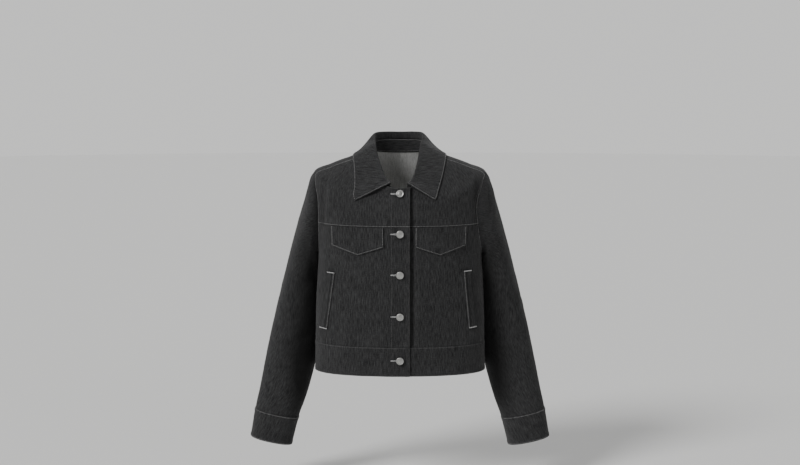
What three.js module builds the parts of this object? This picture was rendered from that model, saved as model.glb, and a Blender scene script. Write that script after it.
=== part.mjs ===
// A cropped denim jacket, hollow, in the shape that it has when it is filled out.
// Millimetres, +Z up, +X to the viewer's right, the fronts face -Y.
// The origin lies midway between the two side neck points, at their height.
import * as THREE from "three";
import { mergeVertices } from "three/addons/utils/BufferGeometryUtils.js";

// A table of sizes: one object a row, with the columns' names.
function table(names, rows) {
  const columns = names.split(" ");
  return rows.map((row) => Object.fromEntries(columns.map((name, i) => [name, row[i]])));
}

// Cloth and seams
const CLOTH = 1.5; // thickness of one wall of denim
const BAND_CLOTH = 2.2; // waistband, cuffs and collar are two layers
const SEAM_GAP = 0.3; // between pieces that are sewn together
const REST_GAP = 0.35; // between a piece and the panel that it lies on
const ARM_GAP = 0.6; // between the armhole's edge and the sleeve
const COLLAR_GAP = 0.7; // round the curved seams of the collar

// The lap at centre front: the wearer's right front lies on top
const LAP_TOP_X = 22; // the top front's edge, past the centre line
const LAP_UNDER_X = -18; // the under front's edge
const LAP_LIFT = 2.1; // how far the top front is raised there
const LAP_RAMP_X = -58; // where the raise starts
const LAP_FLAT_X = -24; // where it reaches its full height

// Waistband, cuffs, collar, flaps, welts, buttons
const CUFF_HEIGHT = 68;
const CUFF_LIFT = 0.7; // how far the cuff and the waistband stand out from what they are sewn to
const BAND_LIFT = 0.4;
// Flaps and welts. side and point: a flap's depth at its sides and its point; inner, top and foot:
// distances from the centre line; drop: how far below the yoke seam a welt starts.
const FLAP = {
  side: 43, point: 61, thick: 1.7,
  right: { inner: 37, width: 117 },
  left: { inner: 34, width: 114 },
};
const WELT = {
  width: 17, height: 127, thick: 1.6,
  right: { top: 155, foot: 173, drop: 101 },
  left: { top: 151, foot: 164, drop: 97 },
};
// round, under, rim and dish shape the cap: its rounded edge, its underside's rounding, the width
// of its raised rim and how deep the face inside the rim is.
const BUTTON = {
  diameter: 17, cap: 3.2, shank: 6, stand: 2.2,
  round: 1.1, under: 1.4, rim: 2.6, dish: 0.7, around: 18,
};
const BUTTON_Z = [-101, -188, -279, -373, -473];

// The body as rings from the hem up to the neck seam. half: half width; front and back: how far
// the ring reaches from its widest line, which lies at y; zFront, zSide, zBack: its height there;
// square: 2 is an ellipse, more is squarer.
const RINGS = table("at half y front back zFront zSide zBack square", [
  ["hem", 195, -24, 88, 122, -509, -508, -511, 2.35],
  ["waistSeam", 194, -24, 86, 120, -443, -441, -443, 2.35],
  ["waist", 191.5, -24, 87, 120, -343, -341, -342, 2.35],
  ["underarm", 186, -22, 89, 126, -240, -237, -240, 2.35],
  ["yoke", 190, -18, 90, 124, -173, -170, -190, 2.3],
  ["upperChest", 194, -10, 93, 112, -141, -111, -150, 2.25],
  ["tip", 197, -3, 94, 97, -119, -57, -108, 2.2],
  ["outerShoulder", 158, -3, 89, 88, -109, -37, -74, 2.15],
  ["innerShoulder", 112, -5, 83, 77, -99, -20, -42, 2.1],
  ["neck", 71, -9, 76, 67, -88, -6, -14, 2.05],
]);
const DIP_FRONT = 3; // how flat a ring runs across the front and the back before it climbs
const DIP_BACK = 2.4;
const level = Object.fromEntries(RINGS.map((ring, i) => [ring.at, i]));

// The armhole, as angles round the body from its side line
const SIDE_SEAM = 4;
const SHOULDER_SEAM = -13;
const ARMHOLE = { frontRight: 13.5, frontLeft: 23.5, frontLean: 5, back: 30, round: 0.4 };

// Soft folds pressed into the body. x and z give the middle, run its length along z, wide its
// breadth, deep its depth (negative stands out), side -1 the front, +1 the back.
const FOLDS = table("x z run wide deep side", [
  [-166, -118, 130, 15, 2.6, -1],
  [170, -110, 90, 11, 1.8, -1],
  [-120, -330, 150, 38, 2.2, -1],
  [128, -350, 140, 34, 2.0, -1],
  [-130, -220, 170, 20, 3.0, 1],
  [134, -230, 160, 20, 2.6, 1],
  [20, -380, 150, 46, 3.2, 1],
]);

// One sleeve, on the +X side, as sections from the armhole down to the cuff's edge. The outer
// point (xOut, zOut) and the inner point (xIn, zIn) are seen from the front; y and deep are the
// section's middle and half depth from front to back.
const SLEEVE = table("xOut zOut xIn zIn y deep square", [
  [197, -57, 186, -237, 6, 52, 2.1],
  [205, -70, 188.5, -243, 7, 57, 2.1],
  [212, -92, 190, -250, 8, 60, 2.15],
  [222, -126, 191, -259, 10, 62, 2.2],
  [236, -173, 190, -274, 13, 62, 2.2],
  [252, -232, 187, -297, 17, 60, 2.2],
  [268, -294, 183, -333, 21, 56, 2.2],
  [284, -356, 182, -382, 24, 51, 2.2],
  [299, -420, 186, -441, 23, 46, 2.2],
  [314, -490, 200, -512, 19, 41, 2.2],
  [327, -557, 219, -580, 13, 37, 2.25],
  [338, -608, 237, -630, 8, 34, 2.3],
  [349, -674, 254, -695, 4, 31, 2.3],
]);
const CAP_ROWS = 3; // sections over which the armhole's outline fades into the plain ones
const BODY_CLEAR = 2.2; // between a sleeve and the body beside it

// The collar in even steps from centre back to its front end. The stand is high and leans in; the
// roll lies rollUp above the neck seam and rollIn inside it; fall is the leaf's edge, measured down
// the body from the neck seam, and turn is how many degrees round from centre back it lies there.
// Columns that end in R are the wearer's right half's, L the left half's.
const COLLAR = table("high leanR leanL rollUp rollInR rollInL fallR turnR fallL turnL", [
  [30, 4, 4, 46, 4, 4, 17, 0, 17, 0],
  [29, 3.5, 4, 45, 3, 4, 19, 32, 19, 32],
  [23, 3, 6, 39, 1, 8, 25, 62, 24, 62],
  [11, 9, 15, 20, 12, 20, 32, 90, 31, 91],
  [5, 9.5, 16, 12, 14, 23, 38, 118, 35, 120],
  [8, 8, 11, 14, 12.5, 18, 50, 136, 42, 141],
  [3.4, 0, 0.5, 9, 1.5, 2, 70, 150.5, 54, 157],
]);
const COLLAR_END = { right: 162, left: 166.4 }; // degrees from centre back to each front end
const ROLL_RADIUS = 3.2;
const LEAF_LIFT = 0.9; // between the leaf's underside and the body

const DENIM = { color: 0x2b2b2c, roughness: 0.88, metalness: 0 };
const METAL = { color: 0xa9a9a6, roughness: 0.35, metalness: 0.9 };

const radians = THREE.MathUtils.degToRad;
const smooth = (x, from, to) => THREE.MathUtils.smoothstep(x, from, to);

// A smooth value between the rows of a table, at a row number that needn't be whole.
function between(table, column, at) {
  const last = table.length - 1;
  const x = THREE.MathUtils.clamp(at, 0, last);
  const i = Math.min(Math.floor(x), last - 1);
  const f = x - i;
  const row = (k) => table[THREE.MathUtils.clamp(k, 0, last)][column];
  const before = i > 0 ? row(i - 1) : 2 * row(0) - row(1);
  const after = i + 2 <= last ? row(i + 2) : 2 * row(last) - row(last - 1);
  const slopeIn = (row(i + 1) - before) / 2;
  const slopeOut = (after - row(i)) / 2;
  const f2 = f * f;
  const f3 = f2 * f;
  return (
    row(i) * (2 * f3 - 3 * f2 + 1) +
    slopeIn * (f3 - 2 * f2 + f) +
    row(i + 1) * (3 * f2 - 2 * f3) +
    slopeOut * (f3 - f2)
  );
}

// How much a point at the angle draws back so that the ring is squarer than an ellipse.
function squared(angle, square) {
  return (Math.abs(Math.cos(angle)) ** square + Math.abs(Math.sin(angle)) ** square) ** (-1 / square);
}

// The body's surface with no folds. angle 0 is the +X side, -90 degrees the front.
function plainBody(angle, t) {
  const sine = Math.sin(angle);
  const k = squared(angle, between(RINGS, "square", t));
  const reach = between(RINGS, sine < 0 ? "front" : "back", t);
  const zSide = between(RINGS, "zSide", t);
  const zEnd = between(RINGS, sine < 0 ? "zFront" : "zBack", t);
  const dip = 1 - Math.abs(Math.cos(angle)) ** (sine < 0 ? DIP_FRONT : DIP_BACK);
  return new THREE.Vector3(
    between(RINGS, "half", t) * k * Math.cos(angle),
    between(RINGS, "y", t) + reach * k * sine,
    zSide + (zEnd - zSide) * dip,
  );
}

// The unit direction in which a surface runs as one of its two values grows.
const STEP = 1e-3;
function runOf(surface, u, v, alongU) {
  const du = alongU ? STEP : 0;
  const dv = alongU ? 0 : STEP;
  return surface(u + du, v + dv).sub(surface(u - du, v - dv)).divideScalar(2 * STEP);
}
function facing(surface, u, v) {
  return runOf(surface, u, v, true).cross(runOf(surface, u, v, false)).normalize();
}

// How deep the folds press the body in at a point.
function foldDepth(point) {
  let depth = 0;
  for (const fold of FOLDS) {
    if (Math.sign(point.y) !== fold.side) continue;
    const across = (point.x - fold.x) / fold.wide;
    const along = (point.z - fold.z) / (fold.run / 2);
    depth += fold.deep * Math.exp(-across * across) * Math.exp(-(along ** 4));
  }
  return depth;
}

// The top front rises over the under one towards centre front.
function lapLift(x) {
  return LAP_LIFT * smooth(x, LAP_RAMP_X, LAP_FLAT_X);
}

// A point of the body's cloth, moved out by a lift along the surface's own direction.
function onBody(angle, t, lift = 0) {
  const point = plainBody(angle, t);
  return point.addScaledVector(facing(plainBody, angle, t), lift - foldDepth(point));
}

// Narrows low and high to where tooLow turns false.
const HALVINGS = 40;
function halving(low, high, tooLow) {
  for (let i = 0; i < HALVINGS; i++) {
    const middle = (low + high) / 2;
    if (tooLow(middle)) low = middle;
    else high = middle;
  }
  return (low + high) / 2;
}

// The angle on the front at which the body has a given x, and the level at which it has a height.
function angleAtX(x, t) {
  return halving(-Math.PI, 0, (angle) => plainBody(angle, t).x < x);
}
function levelAtZ(angle, z) {
  return halving(0, level.neck, (t) => plainBody(angle, t).z < z);
}

// The level a given distance below another one, measured down the cloth.
function levelBelow(angle, t, distance) {
  const steps = 8;
  let at = t;
  for (let i = 0; i < steps; i++) {
    at -= distance / steps / runOf(plainBody, angle, at, false).length();
  }
  return at;
}

// Turns a closed base shape into a piece: every vertex goes where place() sends it.
function shaped(base, place) {
  base.deleteAttribute("normal");
  base.deleteAttribute("uv");
  base.clearGroups();
  const spot = base.attributes.position;
  const at = new THREE.Vector3();
  for (let i = 0; i < spot.count; i++) {
    const to = place(at.fromBufferAttribute(spot, i));
    spot.setXYZ(i, to.x, to.y, to.z);
  }
  const merged = mergeVertices(base, 1e-3);
  return facingOut(merged);
}

// A closed shape whose faces point inwards is turned round.
function facingOut(geometry) {
  const spot = geometry.attributes.position;
  const index = geometry.index.array;
  const [a, b, c] = [new THREE.Vector3(), new THREE.Vector3(), new THREE.Vector3()];
  let volume = 0;
  for (let i = 0; i < index.length; i += 3) {
    a.fromBufferAttribute(spot, index[i]);
    b.fromBufferAttribute(spot, index[i + 1]);
    c.fromBufferAttribute(spot, index[i + 2]);
    volume += a.dot(b.cross(c));
  }
  if (volume < 0) {
    for (let i = 0; i < index.length; i += 3) {
      [index[i], index[i + 1]] = [index[i + 1], index[i]];
    }
  }
  return geometry;
}

// A panel: a thin box, bent. place(column, row, side) gets whole numbers, and 1 outside, 0 inside.
function panel(columns, rows, place) {
  const box = new THREE.BoxGeometry(1, 1, 1, columns, rows, 1);
  return shaped(box, (p) =>
    place(Math.round((p.x + 0.5) * columns), Math.round((p.y + 0.5) * rows), p.z > 0 ? 1 : 0),
  );
}

// A tube of cloth: a turned wall, bent. place(turn, row, side) gets the turn from 0 to 1.
function tube(around, rows, place) {
  const [inside, outside] = [1, 2];
  const wall = [];
  for (let row = 0; row <= rows; row++) wall.push(new THREE.Vector2(outside, row));
  for (let row = rows; row >= 0; row--) wall.push(new THREE.Vector2(inside, row));
  wall.push(wall[0].clone());
  return shaped(new THREE.LatheGeometry(wall, around), (p) => {
    const turn = Math.round((Math.atan2(p.x, p.z) / (2 * Math.PI)) * around + around) % around;
    const isOutside = Math.hypot(p.x, p.z) > (inside + outside) / 2;
    return place(turn / around, Math.round(p.y), isOutside ? 1 : 0);
  });
}

// The angle of the side seam, the middle of the armhole and the shoulder seam, at a level.
function seamAngle(t) {
  const f = THREE.MathUtils.clamp((t - level.underarm) / (level.tip - level.underarm), 0, 1);
  return radians(SIDE_SEAM + (SHOULDER_SEAM - SIDE_SEAM) * f);
}

// Where the armhole's edge is, from the seam's angle. up runs from -1, underarm, to 1, shoulder.
// edge is frontRight, frontLeft or back.
function armholeReach(up, edge) {
  const bow = Math.max(0, 1 - up * up) ** ARMHOLE.round;
  return radians(edge === "back" ? ARMHOLE.back : ARMHOLE.frontLean * up - ARMHOLE[edge]) * bow;
}
const ARM_MIDDLE = (level.underarm + level.tip) / 2;
const ARM_HALF = (level.tip - level.underarm) / 2;
function panelEdge(t, edge) {
  const up = THREE.MathUtils.clamp((t - ARM_MIDDLE) / ARM_HALF, -1, 1);
  return seamAngle(t) + armholeReach(up, edge);
}

// Levels for a body panel's rows between two seams: even below the armhole, close at its ends.
const ARM_STEPS = 12;
const CLOSEST_ROWS = 0.12;
function rowLevels(from, to, below, above) {
  const rows = [];
  for (let i = 0; i <= below; i++) {
    rows.push(level.waistSeam + ((level.underarm - level.waistSeam) * i) / below);
  }
  for (let i = 1; i <= ARM_STEPS; i++) {
    rows.push(ARM_MIDDLE - ARM_HALF * Math.cos((Math.PI * i) / ARM_STEPS));
  }
  for (let i = 1; i <= above; i++) {
    rows.push(level.tip + ((level.neck - level.tip) * i) / above);
  }
  const inside = rows.filter((t) => t > from + CLOSEST_ROWS && t < to - CLOSEST_ROWS);
  return [from, ...inside, to];
}

// A panel on the body between two angles at each level. sewn tells which edges draw back by half
// a seam gap: left and right edges away from the armhole, foot and head always.
function bodyPanel(columns, rows, startAngle, endAngle, lift, thick, sewn) {
  return panel(columns, rows.length - 1, (column, row, side) => {
    const t = rows[row];
    const start = startAngle(t);
    const end = endAngle(t);
    const angle = start + ((end - start) * column) / columns;
    const out = lift(angle, t);
    const point = onBody(angle, t, side ? out : out - thick);
    const along = runOf(plainBody, angle, t, true).normalize();
    const up = runOf(plainBody, angle, t, false).normalize();
    const half = SEAM_GAP / 2;
    if (row === 0) point.addScaledVector(up, half);
    if (row === rows.length - 1 && t < level.neck) point.addScaledVector(up, -half);
    if (column === 0 && sewn.start(t)) point.addScaledVector(along, half);
    if (column === columns && sewn.end(t)) point.addScaledVector(along, -half);
    return point;
  });
}
const offArmhole = (t) => t <= level.underarm || t >= level.tip;
const never = () => false;

// The wearer's right front is on the viewer's left. Mirroring an angle swaps the sides.
const mirrored = (angle) => Math.PI - angle;
function front(wearersRight, rows) {
  const outer = (t) => (wearersRight ? -Math.PI - panelEdge(t, "frontRight") : panelEdge(t, "frontLeft"));
  const centre = (t) => angleAtX(wearersRight ? LAP_TOP_X : LAP_UNDER_X, t);
  const lift = wearersRight ? (angle, t) => lapLift(plainBody(angle, t).x) : () => 0;
  return wearersRight
    ? bodyPanel(11, rows, outer, centre, lift, CLOTH, { start: offArmhole, end: never })
    : bodyPanel(11, rows, centre, outer, lift, CLOTH, { start: never, end: offArmhole });
}

function back(rows) {
  const start = (t) => panelEdge(t, "back");
  return bodyPanel(20, rows, start, (t) => mirrored(start(t)), () => 0, CLOTH, {
    start: offArmhole,
    end: offArmhole,
  });
}

// The waistband runs once round and laps at the front, where its last stretch rises.
function waistband() {
  const rows = [level.hem, (level.hem + level.waistSeam) / 2, level.waistSeam];
  const start = (t) => angleAtX(LAP_UNDER_X, t);
  const end = (t) => 2 * Math.PI + angleAtX(LAP_TOP_X, t);
  const lift = (angle, t) => {
    const lapped = angle > Math.PI;
    const raise = lapped ? smooth(plainBody(angle, t).x, LAP_RAMP_X, LAP_FLAT_X) : 0;
    return BAND_LIFT + (BAND_CLOTH + REST_GAP) * raise;
  };
  return bodyPanel(52, rows, start, end, lift, BAND_CLOTH, { start: never, end: never });
}

// A pointed flap hangs from the yoke seam over the front panel.
function flap(wearersRight) {
  const columns = 8;
  const rows = 4;
  const { inner, width } = FLAP[wearersRight ? "right" : "left"];
  const sign = wearersRight ? -1 : 1;
  return panel(columns, rows, (column, row, side) => {
    const across = column / columns;
    const x = sign * (inner + width * across);
    const angle = angleAtX(x, level.yoke);
    const deep = FLAP.side + (FLAP.point - FLAP.side) * (1 - Math.abs(2 * across - 1));
    const t = levelBelow(angle, level.yoke, SEAM_GAP + (deep * row) / rows);
    const under = wearersRight ? lapLift(x) : 0;
    return onBody(angle, t, under + REST_GAP + (side ? FLAP.thick : 0));
  });
}

// A welt: a narrow leaning strip on the front panel.
function welt(wearersRight) {
  const columns = 2;
  const rows = 8;
  const { top, foot, drop } = WELT[wearersRight ? "right" : "left"];
  const sign = wearersRight ? -1 : 1;
  return panel(columns, rows, (column, row, side) => {
    const down = row / rows;
    const x = top + (foot - top) * down + WELT.width * (column / columns - 0.5);
    const near = angleAtX(sign * x, level.waist);
    const t = levelBelow(near, level.yoke, drop + WELT.height * down);
    return onBody(angleAtX(sign * x, t), t, REST_GAP + (side ? WELT.thick : 0));
  });
}

// The sleeve's surface. turn 0 is its outer line, and it grows towards the back; v is a row.
function plainSleeve(angle, v) {
  const k = squared(angle, between(SLEEVE, "square", v));
  const outer = new THREE.Vector3(between(SLEEVE, "xOut", v), 0, between(SLEEVE, "zOut", v));
  const inner = new THREE.Vector3(between(SLEEVE, "xIn", v), 0, between(SLEEVE, "zIn", v));
  const middle = outer.clone().add(inner).multiplyScalar(0.5);
  const point = middle.addScaledVector(outer.sub(inner), (k * Math.cos(angle)) / 2);
  point.y = between(SLEEVE, "y", v) + between(SLEEVE, "deep", v) * k * Math.sin(angle);
  return point;
}

// The armhole's edge on the body at the same angle, and the way the cloth faces there.
function armholeSpot(angle, frontEdge) {
  const up = Math.cos(angle);
  const t = ARM_MIDDLE + ARM_HALF * up;
  return [seamAngle(t) + armholeReach(up, Math.sin(angle) < 0 ? frontEdge : "back"), t];
}
function armholePoint(angle, lift, frontEdge) {
  return onBody(...armholeSpot(angle, frontEdge), lift);
}

// Half the body's width at a height and a depth, below the underarm.
function bodyHalfWidth(y, z) {
  const t = levelAtZ(0, z);
  const middle = between(RINGS, "y", t);
  const sine = (y - middle) / between(RINGS, y < middle ? "front" : "back", t);
  const square = between(RINGS, "square", t);
  const left = 1 - Math.abs(sine) ** square;
  return left > 0 ? between(RINGS, "half", t) * left ** (1 / square) : 0;
}

function sleeveSurface(angle, v, frontEdge) {
  const point = plainSleeve(angle, v);
  const fade = Math.max(0, 1 - v / CAP_ROWS) ** 2;
  if (fade > 0) {
    point.addScaledVector(armholePoint(angle, 0, frontEdge).sub(plainSleeve(angle, 0)), fade);
  }
  if (point.z < RINGS[level.underarm].zSide) {
    point.x = Math.max(point.x, bodyHalfWidth(point.y, point.z) + BODY_CLEAR);
  }
  return point;
}

const SLEEVE_AROUND = 24;
const CUFF_TOP = SLEEVE.length - 2;
function sleeveRows() {
  const rows = [0];
  for (let v = 0.5; v < CUFF_TOP; v += 0.5) rows.push(v);
  rows.push(CUFF_TOP);
  return rows;
}

// A point of the sleeve's cloth. The first row is the armhole's edge, drawn into the hole.
function sleevePoint(angle, v, lift, frontEdge) {
  if (v === 0) {
    const edge = armholePoint(angle, lift, frontEdge);
    const run = armholePoint(angle + STEP, lift, frontEdge);
    run.sub(armholePoint(angle - STEP, lift, frontEdge));
    const toHole = facing(plainBody, ...armholeSpot(angle, frontEdge)).cross(run).normalize();
    const middle = plainSleeve(0, 0).add(plainSleeve(Math.PI, 0)).multiplyScalar(0.5);
    return edge.addScaledVector(toHole, ARM_GAP * Math.sign(toHole.dot(middle.sub(edge))));
  }
  const surface = (a, row) => sleeveSurface(a, row, frontEdge);
  return surface(angle, v).addScaledVector(facing(surface, angle, v), -lift);
}

// A sleeve or cuff is worked out on the +X side and mirrored for the wearer's right arm.
function sleeveTube(wearersRight, rows, lift, thick) {
  return tube(SLEEVE_AROUND, rows.length - 1, (turn, row, side) => {
    const edge = wearersRight ? "frontRight" : "frontLeft";
    const point = sleevePoint(turn * 2 * Math.PI, rows[row], lift - (side ? 0 : thick), edge);
    if (wearersRight) point.x *= -1;
    return point;
  });
}
function cuffRows() {
  const steps = 4;
  const start = CUFF_TOP + SEAM_GAP / CUFF_HEIGHT;
  return Array.from({ length: steps + 1 }, (_, i) => start + ((CUFF_TOP + 1 - start) * i) / steps);
}

// The collar's guide lines, at u from -1, the wearer's right front end, through 0, centre back.
function collarValue(column, u) {
  const named = column in COLLAR[0] ? column : column + (u < 0 ? "R" : "L");
  return between(COLLAR, named, Math.abs(u) * (COLLAR.length - 1));
}
function neckAngle(u) {
  return radians(90 - u * (u < 0 ? COLLAR_END.right : COLLAR_END.left));
}
function neckDirections(u) {
  const angle = neckAngle(u);
  const out = new THREE.Vector3(Math.cos(angle), Math.sin(angle), 0);
  const neck = plainBody(angle, level.neck);
  const hole = runOf(plainBody, angle, level.neck, false).normalize();
  return { angle, out, neck, hole };
}
function standPoint(u, f) {
  const { neck, out, hole, angle } = neckDirections(u);
  const foot = neck.clone().addScaledVector(hole, COLLAR_GAP);
  foot.addScaledVector(facing(plainBody, angle, level.neck), -CLOTH);
  const head = neck.clone().addScaledVector(out, -collarValue("lean", u) - COLLAR_GAP);
  head.z += collarValue("high", u);
  return foot.lerp(head, f);
}
function standRise(u) {
  return standPoint(u, 1).sub(standPoint(u, 0)).normalize();
}
function leafEdge(u) {
  const turned = radians(90 - Math.sign(u) * collarValue("turn", u));
  const t = levelBelow(turned, level.neck, collarValue("fall", u));
  return onBody(turned, t, LEAF_LIFT);
}

// The leaf from the stand's top (f = 0) up to the roll and down to its edge (f = 1).
const ROLL_AT = 0.24;
const LEAF_ROWS = [0, 0.12, ROLL_AT, 0.29, 0.36, 0.48, 0.64, 0.82, 1];
function leafPoint(u, f) {
  const { neck, out } = neckDirections(u);
  const foot = standPoint(u, 1).addScaledVector(standRise(u), COLLAR_GAP);
  const crest = neck.clone().addScaledVector(out, -collarValue("rollIn", u));
  crest.z += collarValue("rollUp", u);
  if (f <= ROLL_AT) {
    const before = crest.clone().addScaledVector(out, -ROLL_RADIUS);
    return new THREE.QuadraticBezierCurve3(foot, before, crest).getPoint(f / ROLL_AT);
  }
  const after = crest.clone().addScaledVector(out, 2 * ROLL_RADIUS);
  return new THREE.QuadraticBezierCurve3(crest, after, leafEdge(u)).getPoint((f - ROLL_AT) / (1 - ROLL_AT));
}

// The nearest point of the body to a given one: its angle, its level and how far out the point is.
const NEARING_STEPS = 25;
const LARGEST_TURN = 0.1;
function nearestOnBody(point) {
  let angle = Math.atan2(point.y - RINGS[level.neck].y, point.x);
  let t = level.innerShoulder;
  for (let i = 0; i < NEARING_STEPS; i++) {
    const off = point.clone().sub(plainBody(angle, t));
    const round = runOf(plainBody, angle, t, true);
    const up = runOf(plainBody, angle, t, false);
    angle += THREE.MathUtils.clamp(off.dot(round) / round.lengthSq(), -LARGEST_TURN, LARGEST_TURN);
    t = THREE.MathUtils.clamp(t + off.dot(up) / up.lengthSq(), level.yoke, level.neck);
  }
  const out = facing(plainBody, angle, t);
  return { t, out, height: point.clone().sub(onBody(angle, t)).dot(out) };
}

// The leaf kept clear of the body that it lies on, from just below the neck seam outwards.
const BELOW_NECK = 0.02;
function clearLeaf(u, f) {
  const point = leafPoint(u, f);
  const { t, out, height } = nearestOnBody(point);
  const over = f > LEAF_ROWS[3] || t < level.neck - BELOW_NECK;
  const wanted = LEAF_LIFT + (u < 0 ? lapLift(point.x) : 0);
  if (over && height < wanted) point.addScaledVector(out, wanted - height);
  return point;
}

// The collar's pieces have their outer face next to the fold and their thickness on the seen side.
function collarWall(columns, rows, thick, surface) {
  return panel(columns, rows.length - 1, (column, row, side) => {
    const u = -1 + (2 * column) / columns;
    const f = rows[row];
    const point = surface(u, f);
    if (side) return point;
    const margin = 2 * STEP;
    const uInside = THREE.MathUtils.clamp(u, margin - 1, 1 - margin);
    const fInside = THREE.MathUtils.clamp(f, margin, 1 - margin);
    const sewn = surface === clearLeaf && row === 0;
    const out = sewn ? facing(standPoint, uInside, 1) : facing(surface, uInside, fInside);
    return point.addScaledVector(out, thick);
  });
}

// A shank button, turned about its own axis, standing on the top front.
function buttonShape() {
  const { diameter, cap, shank, stand, round, under, rim, dish, around } = BUTTON;
  const edge = diameter / 2;
  const top = stand + cap;
  const profile = [
    [0, 0], [shank / 2, 0], [shank / 2, stand], [edge - under, stand], [edge, stand + round],
    [edge, top - round], [edge - round, top], [edge - rim, top - dish], [0, top],
  ].map(([radius, height]) => new THREE.Vector2(radius, height));
  const turned = new THREE.LatheGeometry(profile, around).rotateX(Math.PI / 2);
  turned.deleteAttribute("normal");
  turned.deleteAttribute("uv");
  return facingOut(mergeVertices(turned, 1e-3));
}

function buttonMesh(z, number) {
  const angle = -Math.PI / 2;
  const t = levelAtZ(angle, z);
  const onBand = t < level.waistSeam;
  const lift = (onBand ? BAND_LIFT + BAND_CLOTH + REST_GAP : LAP_LIFT) + REST_GAP;
  const mesh = new THREE.Mesh(buttonShape(), new THREE.MeshStandardMaterial(METAL));
  mesh.name = "button_" + number;
  mesh.position.copy(onBody(angle, t, lift));
  const out = facing(plainBody, angle, t);
  mesh.quaternion.setFromUnitVectors(new THREE.Vector3(0, 0, 1), out);
  return mesh;
}

const jacket = new THREE.Group();
function add(name, geometry) {
  const mesh = new THREE.Mesh(geometry, new THREE.MeshStandardMaterial(DENIM));
  mesh.name = name;
  jacket.add(mesh);
}

const lowerRows = rowLevels(level.waistSeam, level.yoke, 6, 4);
const yokeRows = rowLevels(level.yoke, level.neck, 6, 4);
for (const [name, wearersRight] of [["right", true], ["left", false]]) {
  add("front_panel_" + name, front(wearersRight, lowerRows));
  add("front_yoke_" + name, front(wearersRight, yokeRows));
  add("sleeve_" + name, sleeveTube(wearersRight, sleeveRows(), 0, CLOTH));
  add("cuff_" + name, sleeveTube(wearersRight, cuffRows(), CUFF_LIFT, BAND_CLOTH));
  add("pocket_flap_" + name, flap(wearersRight));
  add("pocket_welt_" + name, welt(wearersRight));
}
add("back_panel", back(rowLevels(level.waistSeam, level.neck, 6, 4)));
add("waistband", waistband());
add("collar_stand", collarWall(36, [0, 0.5, 1], CLOTH, standPoint));
add("collar_leaf", collarWall(40, LEAF_ROWS, CLOTH, clearLeaf));
BUTTON_Z.forEach((z, i) => jacket.add(buttonMesh(z, i + 1)));

export default jacket;
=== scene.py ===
# %% [markdown]
# A cropped denim jacket, filled out as if somebody wore it, and hollow. A maker cuts flat panels
# of denim and sews them edge to edge: fronts, yokes, back, sleeves, cuffs, waistband and collar.
# Flaps, welts, buttons and rows of topstitching go on top of them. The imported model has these
# pieces as plain walls. Here each one is dressed: a thin shell of cloth on the same form, with
# creases, turned edges, stitches and woven denim.

# %% Load the fixed frame
import math
from types import SimpleNamespace

import bmesh
import bpy
import numpy as np
from mathutils import Matrix, Vector


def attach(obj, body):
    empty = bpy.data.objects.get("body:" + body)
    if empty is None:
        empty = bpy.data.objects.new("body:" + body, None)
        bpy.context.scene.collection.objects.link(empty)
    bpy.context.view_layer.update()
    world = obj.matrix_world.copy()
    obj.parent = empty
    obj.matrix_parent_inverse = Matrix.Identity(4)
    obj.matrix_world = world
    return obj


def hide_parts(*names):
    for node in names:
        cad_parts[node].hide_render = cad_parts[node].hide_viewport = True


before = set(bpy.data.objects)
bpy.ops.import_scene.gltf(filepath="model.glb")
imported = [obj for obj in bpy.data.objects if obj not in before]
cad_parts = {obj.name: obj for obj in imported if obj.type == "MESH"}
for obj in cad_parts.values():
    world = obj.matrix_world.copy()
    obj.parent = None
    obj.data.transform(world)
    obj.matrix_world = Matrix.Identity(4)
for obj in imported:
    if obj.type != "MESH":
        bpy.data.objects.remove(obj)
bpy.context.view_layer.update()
print("nodes in the frame:", len(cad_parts))

# %% [markdown]
# The camera comes first, so that everything after it can be judged in the photograph's frame. It
# stands three metres off, a little above the jacket, and looks slightly down on it.

# %% Place the camera
MM = 0.001
AIM = Vector((0, 0, -0.1965))
CAMERA_DISTANCE = 3.0
CAMERA_RISE = math.radians(6.65)
LENS = 58.68


def placed(name, data):
    """Adds a new object to the scene."""
    made = bpy.data.objects.new(name, data)
    bpy.context.collection.objects.link(made)
    return made


camera = placed("camera", bpy.data.cameras.new("camera"))
camera.data.lens = LENS
camera.location = AIM + CAMERA_DISTANCE * Vector((0, -math.cos(CAMERA_RISE), math.sin(CAMERA_RISE)))
camera.rotation_euler = (math.pi / 2 - CAMERA_RISE, 0, 0)
bpy.context.scene.camera = camera
print("camera at", tuple(round(x, 3) for x in camera.location))

# %% [markdown]
# Plain studio light. A soft lamp high on the left shades the cloth from one side, a weak one opens
# the right, and one behind the jacket reaches its inside. The backdrop that the camera sees is
# pale, but it lights the jacket only dimly, so that folds and the edges of pieces keep their
# shadows.

# %% Light the studio
KEY = dict(place=(-3.5, -2.8, 3.3), strength=2.4, softness=20)
FILL = dict(place=(3.0, -3.0, 0.9), strength=0.22, softness=40)
REAR = dict(place=(0.3, 2.2, 3.9), strength=1.6, softness=80)
BACKDROP = (0.80, 0.80, 0.79, 1)
AMBIENT = (0.11, 0.11, 0.11, 1)


def soft_light(name, place, strength, softness):
    """A distant lamp; softness is how many degrees wide it looks."""
    lamp = bpy.data.lights.new(name, "SUN")
    lamp.energy, lamp.angle = strength, math.radians(softness)
    holder = placed(name, lamp)
    holder.location = place
    holder.rotation_euler = (AIM - Vector(place)).to_track_quat("-Z", "Y").to_euler()


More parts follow.
